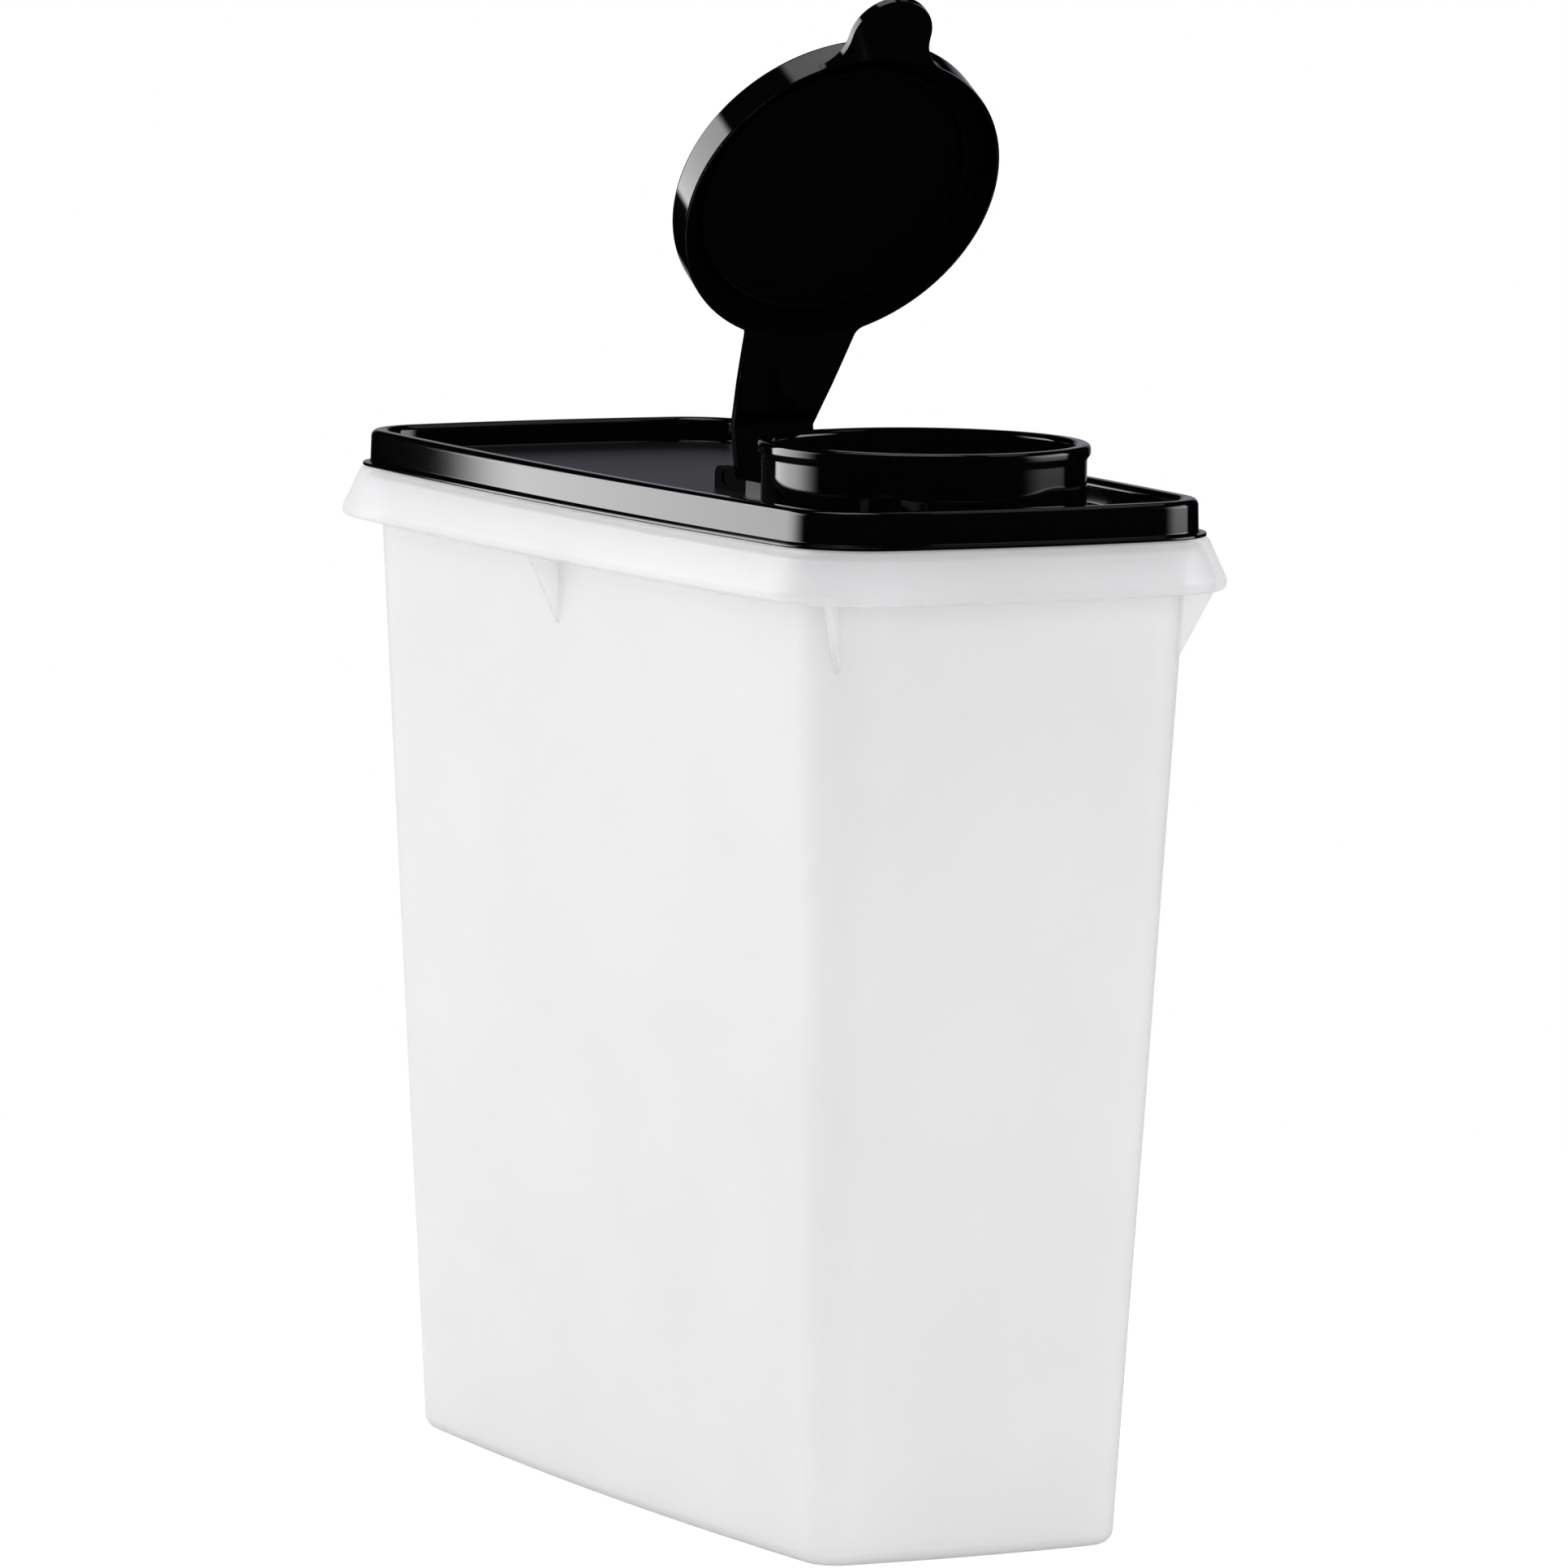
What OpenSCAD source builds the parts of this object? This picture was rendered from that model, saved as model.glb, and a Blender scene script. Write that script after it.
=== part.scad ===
// Cereal container with a flip spout: tapered bin, press-on lid and hinged cap.
// Millimetres. X runs along the length towards the spout, Y across, Z up from the table.

/* [Bin] */

// Half of the bin length at the table
base_half_length = 103.6; // [90:0.1:115]
// Half of the bin width at the table
base_half_width = 42; // [36:0.1:46]
// Corner radius at the table
base_corner = 9; // [6:0.5:12]
// How far the long sides bow out at the table
base_bow_long = 3.3; // [1:0.1:5]
// How far the short ends bow out at the table
base_bow_short = 1.2; // [0.5:0.1:3]
// Radius along the bottom edge
base_edge = 3; // [2:0.1:4]
// Wall thickness of the bin
bin_wall = 1.6; // [1.4:0.1:2]
// Floor thickness of the bin
bin_floor = 2; // [1.6:0.1:3]
// Height where the tapered wall meets the rim
wall_top = 220.2; // [216.5:0.1:221]

/* [Rim and skirt] */

// Half of the length over the lid's lower lip
lip_half_length = 124; // [118:0.1:126]
// Half of the width over the lid's lower lip
lip_half_width = 55; // [51:0.1:58]
// Corner radius of the lid's lower lip
lip_corner = 20; // [17:0.5:24]
// How far the long sides bow out at the lid
lip_bow_long = 3.1; // [1:0.1:5]
// How far the short ends bow out at the lid
lip_bow_short = 1.8; // [0.5:0.1:3]
// Height of the bin's rim
rim_top = 231.6; // [230:0.1:232.5]
// Thickness of the bin's rim
rim_wall = 1.5; // [1.2:0.1:1.6]
// How far the skirt stands out past the lid's lip
skirt_reach = 4.8; // [4:0.1:7]
// Height of the skirt's lower edge
skirt_bottom = 213.6; // [211:0.1:216]
// Thickness of the skirt
skirt_wall = 1.7; // [1.3:0.1:2]

/* [Ribs under the skirt] */

// Thickness of each rib
rib_thick = 1.4; // [1:0.1:2]
// How far each rib runs down below the skirt
rib_drop = 16.3; // [8:0.1:20]
// Place of the side ribs along the length
side_rib_x = -8; // [-30:0.5:30]

/* [Lid] */

// Gap between the lid and the bin
lid_gap = 0.3; // [0.25:0.05:0.35]
// Height of the recessed panel
panel_top = 227.8; // [227.4:0.1:228]
// Thickness of the panel
panel_thick = 1.5; // [1.2:0.1:1.6]
// How far the lower lip stands out past the border
border_out = 1.8; // [1:0.05:2]
// Thickness of the raised border's walls
border_wall = 1.3; // [1.2:0.05:1.5]
// Height of the border's crest
border_top = 233.5; // [233.2:0.1:234]

/* [Pour collar] */

// Collar centre along the length
collar_x = 72.3; // [68:0.1:74]
// Width of the collar's rounded lip
collar_lip_wide = 3.5; // [3:0.1:4]
// How far the lip stands out past the collar's wall
collar_overhang = 0.8; // [0.5:0.1:1.4]
// Height of the collar's lip
collar_top = 244.2; // [243.6:0.1:244.25]

/* [Hinge] */

// Height of the hinge axis
hinge_z = 230.5; // [230.4:0.05:230.8]
// Reach from the hinge axis to the cap's centre
hinge_reach = 70.7; // [70.6:0.05:70.9]
// Opening angle in the photographed pose
open_angle = 58.9; // [30:0.1:90]
// Radius of the hinge bar
bar_radius = 2.3; // [2.1:0.05:2.35]
// Half of the hinge bar's length
bar_half = 10; // [9:0.1:10.4]
// Radius of the hinge pins
pin_radius = 1.5; // [1.2:0.05:1.7]
// Radial clearance between pin and ear
pin_gap = 0.05; // [0.03:0.01:0.08]
// Thickness of each hinge ear
ear_thick = 2.7; // [2.2:0.1:3.5]
// Height of the ears' top
ear_top = 233; // [232.8:0.1:233.6]
// Height of the ears' low tail
ear_tail_top = 230.7; // [230:0.1:231.5]
// End of the ears' tail towards the spout
ear_tail_x = 20; // [14:0.5:24]

/* [Flip cap] */

// Height of the cap's lower edge over the hinge axis
cap_edge = 7; // [6.8:0.1:7.2]
// Depth of the cap
cap_depth = 8.3; // [8.3:0.05:8.6]
// Radius over the cap's lower edge
cap_radius = 38.15; // [38:0.05:38.8]
// Thickness of the cap's side wall at its lower edge
cap_wall = 0.65; // [0.6:0.05:1.1]
// Play between the cap's lower edge and the collar's lip
cap_play = 0.8; // [0.75:0.05:0.9]
// Thickness of the cap's round top
cap_top_thick = 1.2; // [1.1:0.05:1.2]
// Play between the sealing ring and the collar
seal_play = 0.9; // [0.85:0.05:1.5]
// Thickness of the sealing ring
seal_thick = 1.2; // [1:0.1:1.6]
// Height of the sealing ring
seal_height = 3.5; // [2:0.1:3.6]
// Half of the finger tab's width
tab_half = 9.8; // [8:0.1:12]
// How far the tab stands out from the cap
tab_reach = 14.9; // [12:0.1:16]
// Radius of the tab's tip corners
tab_corner = 8; // [5:0.1:8]
// Fillet where the tab meets the cap
tab_fillet = 5; // [3:0.1:6]
// Thickness of the tab and the strap
strap_thick = 2; // [1.6:0.1:2.2]
// Half of the strap's width at the cap
strap_half = 13.9; // [12.5:0.1:16]
// Fillet where the strap meets the cap
strap_fillet = 3; // [2:0.1:4]

/* [Hidden] */

// Each outline is half length, half width, corner radius, long bow, short bow.
base_outline = [base_half_length, base_half_width, base_corner, base_bow_long, base_bow_short];
lip_outline = [lip_half_length, lip_half_width, lip_corner, lip_bow_long, lip_bow_short];

// Insets from the lid's lip to the faces of the rim, the border and the wall
rim_out = border_out + border_wall + 0.1 + lid_gap;
rim_in = rim_out + rim_wall;
border_core = rim_in + lid_gap;
border_in = border_core + border_wall;
wall_out = rim_out + 0.85;
wall_outline = inset(lip_outline, wall_out);

lip_low = 225.25;
ledge_top = lip_low - lid_gap;
ledge_low = ledge_top - skirt_wall;
roof_z = rim_top + lid_gap;
panel_low = panel_top - panel_thick;

// Radii of the cap, the collar and the sealing ring, each from the one outside it
cap_inside = cap_radius - cap_wall;
collar_lip = cap_inside - cap_play;
collar_outside = collar_lip - collar_overhang;
collar_bore = collar_lip - collar_lip_wide;
seal_radius = collar_bore - seal_play;

hinge_x = collar_x - hinge_reach;
ear_in = bar_half + 0.3;
ear_out = ear_in + ear_thick;
knuckle_half = 5;
knee_v = 8.5;
link_wide = 2.4;
strap_foot = 9;
cap_crown = cap_edge + cap_depth;
cap_roof = cap_crown - cap_top_thick;

// Points along a quarter outline: short end, corner, long side
end_steps = 4;
corner_steps = 10;
side_steps = 7;

// An outline drawn in by the same distance all round
function inset(o, d) = [o[0] - d, o[1] - d, o[2] - d, o[3], o[4]];

// An outline part of the way from one to another
function blend(o, p, t) = [for (i = [0 : 4]) o[i] * (1 - t) + p[i] * t];

// Centre of the corner arc
function corner_centre(o) = [o[0] - o[2] - o[4], o[1] - o[2] - o[3]];

// Radius of the long side's arc and of the short end's arc
function side_radius(o) = (pow(corner_centre(o)[0], 2) + pow(o[2] + o[3], 2) - pow(o[2], 2)) / (2 * o[3]);
function end_radius(o) = (pow(corner_centre(o)[1], 2) + pow(o[2] + o[4], 2) - pow(o[2], 2)) / (2 * o[4]);

// Directions where the corner arc meets the short end and the long side
function end_turn(o) = atan2(corner_centre(o)[1], corner_centre(o)[0] - o[0] + end_radius(o));
function side_turn(o) = atan2(corner_centre(o)[1] - o[1] + side_radius(o), corner_centre(o)[0]);

function arc_point(c, r, a) = [c[0] + r * cos(a), c[1] + r * sin(a)];

// Tangent arcs of one quarter, from the X axis to the Y axis
function quarter(o) = concat(
    [for (i = [0 : end_steps - 1])
        arc_point([o[0] - end_radius(o), 0], end_radius(o), end_turn(o) * i / end_steps)],
    [for (i = [0 : corner_steps - 1])
        arc_point(corner_centre(o), o[2], end_turn(o) + (side_turn(o) - end_turn(o)) * i / corner_steps)],
    [for (i = [0 : side_steps])
        arc_point([0, o[1] - side_radius(o)], side_radius(o), side_turn(o) + (90 - side_turn(o)) * i / side_steps)]
);

// The closed outline, each axis point used once
function closed_outline(q) = let(n = len(q)) concat(
    [for (i = [0 : n - 1]) q[i]],
    [for (i = [n - 2 : -1 : 0]) [-q[i][0], q[i][1]]],
    [for (i = [1 : n - 1]) [-q[i][0], -q[i][1]]],
    [for (i = [n - 2 : -1 : 1]) [q[i][0], -q[i][1]]]
);

function ring(o, z) = [for (p = closed_outline(quarter(o))) [p[0], p[1], z]];

// A solid skinned over a stack of outlines, the first and last one filled in
module skin(stack) {
    rings = [for (s = stack) ring(s[0], s[1])];
    n = len(rings[0]);
    last = len(rings) - 1;
    points = [for (r = rings) for (p = r) p];
    sides = [for (i = [0 : last - 1]) for (j = [0 : n - 1]) let(k = (j + 1) % n)
        each [[i * n + j, (i + 1) * n + j, (i + 1) * n + k], [i * n + j, (i + 1) * n + k, i * n + k]]];
    first_face = [for (j = [0 : n - 1]) j];
    last_face = [for (j = [n - 1 : -1 : 0]) last * n + j];
    polyhedron(points = points, faces = concat([first_face], sides, [last_face]), convexity = 6);
}

// The bin's skin: floor, tapered wall, skirt, rim and back down the inside
module bin_shell() {
    reach = -skirt_reach;
    skirt_in = skirt_wall * 1.12;
    foot_in = blend(base_outline, wall_outline, 5 / wall_top);
    skin([
        [inset(base_outline, base_edge * 0.9), 0],
        [inset(base_outline, base_edge * 0.45), base_edge * 0.14],
        [inset(base_outline, base_edge * 0.14), base_edge * 0.45],
        [blend(base_outline, wall_outline, base_edge / wall_top), base_edge],
        [blend(base_outline, wall_outline, 0.5), wall_top / 2],
        [wall_outline, wall_top],
        [inset(lip_outline, rim_out), wall_top + 1.3],
        [inset(lip_outline, rim_out), ledge_low - 0.8],
        [inset(lip_outline, rim_out - 0.8), ledge_low],
        [inset(lip_outline, reach + 4.1 + skirt_in), ledge_low],
        [inset(lip_outline, reach + 0.6 + skirt_in), skirt_bottom + 2.8],
        [inset(lip_outline, reach + 0.3 + skirt_in), skirt_bottom + 0.5],
        [inset(lip_outline, reach + 1.4), skirt_bottom],
        [inset(lip_outline, reach + 0.6), skirt_bottom + 0.2],
        [inset(lip_outline, reach), skirt_bottom + 1.2],
        [inset(lip_outline, reach + 0.35), skirt_bottom + 3],
        [inset(lip_outline, reach + 4.1), ledge_top - 0.5],
        [inset(lip_outline, reach + 4.7), ledge_top - 0.1],
        [inset(lip_outline, reach + 5.4), ledge_top],
        [inset(lip_outline, rim_out), ledge_top],
        [inset(lip_outline, rim_out), rim_top - 0.5],
        [inset(lip_outline, rim_out + 0.4), rim_top],
        [inset(lip_outline, rim_in - 0.4), rim_top],
        [inset(lip_outline, rim_in), rim_top - 0.5],
        [inset(lip_outline, rim_in), wall_top + 1.3],
        [inset(wall_outline, bin_wall), wall_top],
        [inset(foot_in, bin_wall), bin_floor + 4],
        [inset(foot_in, bin_wall + 0.5), bin_floor + 1.9],
        [inset(foot_in, bin_wall + 1.9), bin_floor + 0.5],
        [inset(foot_in, bin_wall + 4), bin_floor]
    ]);
}

// A thin triangular rib in the XZ plane, its outer face running out along +X
module rib(root, foot, out) {
    top = skirt_bottom + 0.6;
    rotate([90, 0, 0])
        translate([0, 0, -rib_thick / 2])
            linear_extrude(height = rib_thick)
                polygon([[foot - 0.9, top - rib_drop], [foot, top - rib_drop], [out, top], [out, top + 1], [root - 0.9, top + 1]]);
}

module bin_ribs() {
    high = blend(base_outline, wall_outline, (skirt_bottom + 1) / wall_top);
    low = blend(base_outline, wall_outline, (skirt_bottom - rib_drop) / wall_top);
    out = skirt_reach - skirt_wall * 1.12 - 0.1;
    // long sides, one each
    for (s = [-1, 1])
        translate([side_rib_x, 0, 0])
            rotate([0, 0, 90 * s])
                rib(high[1] - 0.02, low[1] - 0.02, lip_half_width + out - 0.1);
    // the two corners at the spout end, square to the corner arc
    for (s = [-1, 1]) {
        c = corner_centre(lip_outline);
        w = corner_centre(high);
        f = corner_centre(low);
        reach_high = (w[0] - c[0] + w[1] - c[1]) / sqrt(2) + high[2];
        reach_low = (f[0] - c[0] + f[1] - c[1]) / sqrt(2) + low[2];
        translate([c[0], s * c[1], 0])
            rotate([0, 0, 45 * s])
                rib(reach_high, reach_low, lip_corner + out);
    }
}

module container() {
    color([0.93, 0.93, 0.94, 0.85]) {
        bin_shell();
        bin_ribs();
    }
}

// The lid's skin: recessed panel, raised border over the rim, lower lip
module lid_shell() {
    skin([
        [inset(lip_outline, border_core), panel_low],
        [inset(lip_outline, border_core), roof_z],
        [inset(lip_outline, rim_out - lid_gap), roof_z],
        [inset(lip_outline, rim_out - lid_gap), lip_low],
        [inset(lip_outline, 0.3), lip_low],
        [inset(lip_outline, 0), lip_low + 0.25],
        [inset(lip_outline, 0), lip_low + 0.5],
        [inset(lip_outline, 0.3), lip_low + 0.75],
        [inset(lip_outline, border_out - 0.5), lip_low + 0.9],
        [inset(lip_outline, border_out), lip_low + 1.5],
        [inset(lip_outline, border_out + 0.2), border_top - 1.5],
        [inset(lip_outline, border_out + 0.5), border_top - 0.7],
        [inset(lip_outline, border_out + 1.1), border_top - 0.2],
        [inset(lip_outline, border_out + 1.9), border_top],
        [inset(lip_outline, border_in - 1.2), border_top - 0.2],
        [inset(lip_outline, border_in - 0.4), border_top - 0.9],
        [inset(lip_outline, border_in - 0.1), border_top - 1.9],
        [inset(lip_outline, border_in), panel_top + 1],
        [inset(lip_outline, border_in + 0.3), panel_top + 0.3],
        [inset(lip_outline, border_in + 1), panel_top]
    ]);
}

module collar_wall() {
    lip_mid = collar_top - 1.3;
    translate([collar_x, 0, 0])
        rotate_extrude($fn = 96)
            difference() {
                union() {
                    translate([collar_bore, panel_low])
                        square([collar_outside - collar_bore, lip_mid - panel_low]);
                    translate([collar_outside - 0.2, panel_top - 0.3])
                        square([1.7, 1.8]);
                    translate([collar_lip - 1.3, lip_mid])
                        circle(r = 1.3, $fn = 32);
                    translate([collar_bore + 1.3, lip_mid])
                        circle(r = 1.3, $fn = 32);
                    translate([collar_bore + 1.3, lip_mid - 1])
                        square([collar_lip - collar_bore - 2.6, 2.3]);
                }
                // fillet between the collar and the panel
                translate([collar_outside + 1.5, panel_top + 1.5])
                    circle(r = 1.5, $fn = 32);
            }
}

// Side view of one hinge ear, X along the lid and Y up
module ear_side() {
    left = hinge_x - knuckle_half;
    right = hinge_x + knuckle_half;
    sink = panel_top - 0.5;
    translate([left, sink])
        square([2 * knuckle_half, ear_top - 2 - sink]);
    translate([left + 2, sink])
        square([2 * knuckle_half - 4, ear_top - sink]);
    for (x = [left + 2, right - 2])
        translate([x, ear_top - 2])
            circle(r = 2, $fn = 32);
    translate([hinge_x, sink])
        square([ear_tail_x - 1 - hinge_x, ear_tail_top - sink]);
    translate([hinge_x, sink])
        square([ear_tail_x - hinge_x, ear_tail_top - 1 - sink]);
    translate([ear_tail_x - 1, ear_tail_top - 1])
        circle(r = 1, $fn = 24);
}

module ears() {
    for (y = [-ear_out, ear_in])
        translate([0, y + ear_thick, 0])
            rotate([90, 0, 0])
                linear_extrude(height = ear_thick)
                    ear_side();
}

module lid() {
    color([0.04, 0.04, 0.045])
        difference() {
            union() {
                lid_shell();
                collar_wall();
                ears();
            }
            translate([collar_x, 0, panel_low - 1])
                cylinder(r = collar_bore, h = panel_thick + 3, $fn = 96);
            translate([hinge_x, ear_out + 1, hinge_z])
                rotate([90, 0, 0])
                    cylinder(r = pin_radius + pin_gap, h = 2 * ear_out + 2, $fn = 48);
        }
}

// Section of the round cap, radius along X and height over the hinge axis along Y
module cap_section() {
    side = cap_radius - 0.2;
    difference() {
        union() {
            translate([0, cap_edge])
                square([cap_radius - 1.4, cap_depth]);
            polygon([[cap_radius - 8, cap_edge], [cap_radius - 0.4, cap_edge], [cap_radius, cap_edge + 0.4],
                [side, cap_crown - 1.2], [cap_radius - 8, cap_crown - 1.2]]);
            translate([side - 1.2, cap_crown - 1.2])
                circle(r = 1.2, $fn = 32);
        }
        polygon([[-1, cap_edge - 1], [cap_inside, cap_edge - 1], [cap_inside, cap_edge],
            [cap_inside - 0.4, cap_edge + 5], [cap_inside - 0.4, cap_roof], [-1, cap_roof]]);
    }
    // sealing ring
    translate([seal_radius - seal_thick, cap_roof - seal_height + 0.5])
        square([seal_thick, seal_height]);
    translate([seal_radius - seal_thick / 2, cap_roof - seal_height + seal_thick / 2])
        circle(r = seal_thick / 2, $fn = 24);
}

// A fillet beside the cap: square corner patch less a round
module side_fillet(at, r, foot) {
    difference() {
        polygon([foot, [at[0], at[1] - r], [at[0], at[1] - r - 2], [foot[0], at[1] - r - 2]]);
        translate(at)
            circle(r = r, $fn = 48);
    }
}

// Plan of the finger tab and the strap, seen from above with the cap closed
module tab_plan() {
    tip = cap_radius + tab_reach;
    corner_v = tip - tab_corner;
    root_v = sqrt(pow(cap_radius + tab_fillet, 2) - pow(tab_half + tab_fillet, 2));
    share = cap_radius / (cap_radius + tab_fillet);
    translate([0, -tab_half])
        square([corner_v, 2 * tab_half]);
    translate([corner_v - 1, tab_corner - tab_half])
        square([tab_corner + 1, 2 * (tab_half - tab_corner)]);
    for (s = [-1, 1]) {
        translate([corner_v, s * (tab_half - tab_corner)])
            circle(r = tab_corner, $fn = 64);
        mirror([0, s < 0 ? 1 : 0])
            side_fillet([root_v, tab_half + tab_fillet], tab_fillet, [root_v * share, (tab_half + tab_fillet) * share]);
    }
}

module strap_plan() {
    meet = -sqrt(pow(cap_radius, 2) - pow(strap_half, 2));
    foot = knee_v - hinge_reach;
    root_v = -sqrt(pow(cap_radius + strap_fillet, 2) - pow(strap_half + strap_fillet, 2));
    share = cap_radius / (cap_radius + strap_fillet);
    // half widths on the way from the knee to the cap
    side = [[foot, bar_half], [foot + 1.5, bar_half + 0.3], [foot + 6, bar_half + 1],
        [foot + 11.5, strap_half - 2], [foot + 17.5, strap_half - 1.2], [meet - 4, strap_half - 0.5],
        [meet, strap_half], [0, strap_half]];
    for (s = [-1, 1])
        polygon(concat([for (p = side) [p[0], s * p[1]]], [[0, 0], [foot, 0]]));
    for (s = [-1, 1])
        mirror([0, s < 0 ? 1 : 0])
            mirror([1, 0])
                side_fillet([-root_v, strap_half + strap_fillet - 0.3], strap_fillet,
                    [-root_v * share, (strap_half + strap_fillet) * share]);
}

// Side view of the hinge bar and the link up to the strap
module link_side() {
    knee_h = cap_edge + strap_thick / 2;
    rise = atan2(knee_h, knee_v);
    circle(r = bar_radius, $fn = 48);
    rotate(rise)
        translate([0, -link_wide / 2])
            square([norm([knee_v, knee_h]), link_wide]);
    translate([knee_v, knee_h])
        circle(r = strap_thick / 2, $fn = 32);
}

// The cap in its closed place, hinge axis on the Y axis
module cap_closed() {
    translate([hinge_reach, 0, 0]) {
        rotate_extrude($fn = 96)
            cap_section();
        difference() {
            translate([0, 0, cap_edge])
                linear_extrude(height = strap_thick) {
                    tab_plan();
                    strap_plan();
                }
            translate([0, 0, cap_edge - 1])
                cylinder(r = cap_radius - 0.55, h = strap_thick + 2, $fn = 96);
        }
    }
    translate([0, bar_half, 0])
        rotate([90, 0, 0])
            linear_extrude(height = 2 * bar_half)
                link_side();
    translate([0, ear_out - 0.3, 0])
        rotate([90, 0, 0])
            cylinder(r = pin_radius, h = 2 * ear_out - 0.6, $fn = 48);
}

module flip_cap() {
    color([0.04, 0.04, 0.045])
        translate([hinge_x, 0, hinge_z])
            rotate([0, -open_angle, 0])
                cap_closed();
}

container();
lid();
flip_cap();
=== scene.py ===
"""Looks of the cereal container with a flip spout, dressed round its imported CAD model.

Shapes are worked out in millimetres and degrees, as in the part's source, and the meshes are made in metres.
"""
import bpy
import bmesh
from collections import namedtuple
from math import atan2, ceil, cos, degrees, pi, radians, sin, sqrt, tan
from mathutils import Matrix, Vector


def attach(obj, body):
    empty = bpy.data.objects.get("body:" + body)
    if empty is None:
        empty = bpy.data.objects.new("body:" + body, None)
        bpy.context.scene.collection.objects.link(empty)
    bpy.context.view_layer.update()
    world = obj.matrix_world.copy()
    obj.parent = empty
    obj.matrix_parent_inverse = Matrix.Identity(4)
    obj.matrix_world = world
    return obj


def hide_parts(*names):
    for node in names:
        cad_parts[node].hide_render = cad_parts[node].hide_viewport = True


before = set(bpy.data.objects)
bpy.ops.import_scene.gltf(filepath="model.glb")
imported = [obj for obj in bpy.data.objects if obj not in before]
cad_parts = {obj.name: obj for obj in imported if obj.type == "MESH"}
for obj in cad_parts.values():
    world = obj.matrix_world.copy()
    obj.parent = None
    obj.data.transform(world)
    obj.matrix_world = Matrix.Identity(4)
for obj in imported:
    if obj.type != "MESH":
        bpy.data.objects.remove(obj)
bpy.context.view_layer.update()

MM = 0.001

# a bow is how far the middle of a side stands out past its corners
Outline = namedtuple("Outline", "half_long half_wide corner bow_long bow_short")

# sizes of the bin, which follow the part's source
BASE = Outline(half_long=103.6, half_wide=42.0, corner=9.0, bow_long=3.3, bow_short=1.2)
BASE_EDGE = 3.0
BIN_WALL = 1.6
BIN_FLOOR = 2.0
WALL_TOP = 220.2
RIM_FOOT = WALL_TOP + 1.3
RIM_TOP = 231.6
RIM_WALL = 1.5
RIM_STEP = 0.85          # how far the rim stands out past the wall below it
SKIRT_REACH = 4.8
SKIRT_BOTTOM = 213.6
SKIRT_WALL = 1.7
SKIRT_ACROSS = SKIRT_WALL * 1.12     # the skirt's wall measured level, where it leans
SKIRT_SLOPE = 4.5        # how far the skirt slopes out from the ledge
SKIRT_EDGE = 2.2         # height of its upright lower edge
RIB_THICK = 1.4
RIB_DROP = 16.3
RIB_SINK = 0.9           # how far the ribs run into the wall
SIDE_RIB_X = -8.0

# sizes of the lid, which follow the part's source
LIP = Outline(half_long=124.0, half_wide=55.0, corner=20.0, bow_long=3.1, bow_short=1.8)
LIP_LOW = 225.25
LID_GAP = 0.3
PANEL_TOP = 227.8
PANEL_THICK = 1.5
PANEL_LOW = PANEL_TOP - PANEL_THICK
BORDER_WALL = 1.3
BORDER_TOP = 233.5
BORDER_OUT = 1.8
BORDER_LEAN = 0.2        # how far the border's outer face leans in towards its crest

# insets from the lid's lip to the faces of the rim, the border and the wall, and the heights between them
RIM_OUT = BORDER_OUT + BORDER_WALL + BORDER_LEAN / 2 + LID_GAP
RIM_IN = RIM_OUT + RIM_WALL
BORDER_CORE = RIM_IN + LID_GAP
BORDER_IN = BORDER_CORE + BORDER_WALL
WALL_OUT = RIM_OUT + RIM_STEP
LEDGE_TOP = LIP_LOW - LID_GAP
LEDGE_LOW = LEDGE_TOP - SKIRT_WALL
ROOF = RIM_TOP + LID_GAP

# sizes of the flip cap, which follow the part's source; heights are over the hinge axis, with the cap shut
CAP_EDGE = 7.0
CAP_DEPTH = 8.3
CAP_THICK = 1.2
CAP_CROWN = CAP_EDGE + CAP_DEPTH
CAP_ROOF = CAP_CROWN - CAP_THICK
CAP_RADIUS = 38.15
CAP_WALL = 0.65
CAP_INSIDE = CAP_RADIUS - CAP_WALL
TAB_HALF = 9.8
TAB_REACH = 14.9
TAB_TIP = CAP_RADIUS + TAB_REACH
STRAP_THICK = 2.0
STRAP_HALF = 13.9
STRAP_FILLET = 3.0
ROOT_SINK = 0.6          # how far the tab and the strap run into the cap's side

# sizes of the pour collar and of the ring that seals it, each from the one outside it
COLLAR_X = 72.3
COLLAR_TOP = 244.2
CAP_PLAY = 0.8
COLLAR_OVERHANG = 0.8
COLLAR_LIP_WIDE = 3.5
COLLAR_LIP = CAP_INSIDE - CAP_PLAY
COLLAR_OUTSIDE = COLLAR_LIP - COLLAR_OVERHANG
COLLAR_BORE = COLLAR_LIP - COLLAR_LIP_WIDE
SEAL_PLAY = 0.9
SEAL_THICK = 1.2
SEAL_HEIGHT = 3.5
SEAL_RADIUS = COLLAR_BORE - SEAL_PLAY
SEAL_FOOT = CAP_ROOF - SEAL_HEIGHT

# sizes of the hinge, which follow the part's source
HINGE_Z = 230.5
HINGE_REACH = 70.7
HINGE_X = COLLAR_X - HINGE_REACH
OPEN_ANGLE = 58.9
BAR_RADIUS = 2.3
BAR_HALF = 10.0
PIN_RADIUS = 1.5
PIN_GAP = 0.05
PIN_SINK = 0.5           # how far each pin runs into the bar
EAR_PLAY = 0.3
EAR_THICK = 2.7
EAR_IN = BAR_HALF + EAR_PLAY
EAR_OUT = EAR_IN + EAR_THICK
EAR_TOP = 233.0
EAR_TAIL_TOP = 230.7
EAR_TAIL_X = 20.0
KNUCKLE_HALF = 5.0
KNEE_V = 8.5             # how far the link's knee stands out from the hinge axis
LINK_WIDE = 2.4

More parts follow.
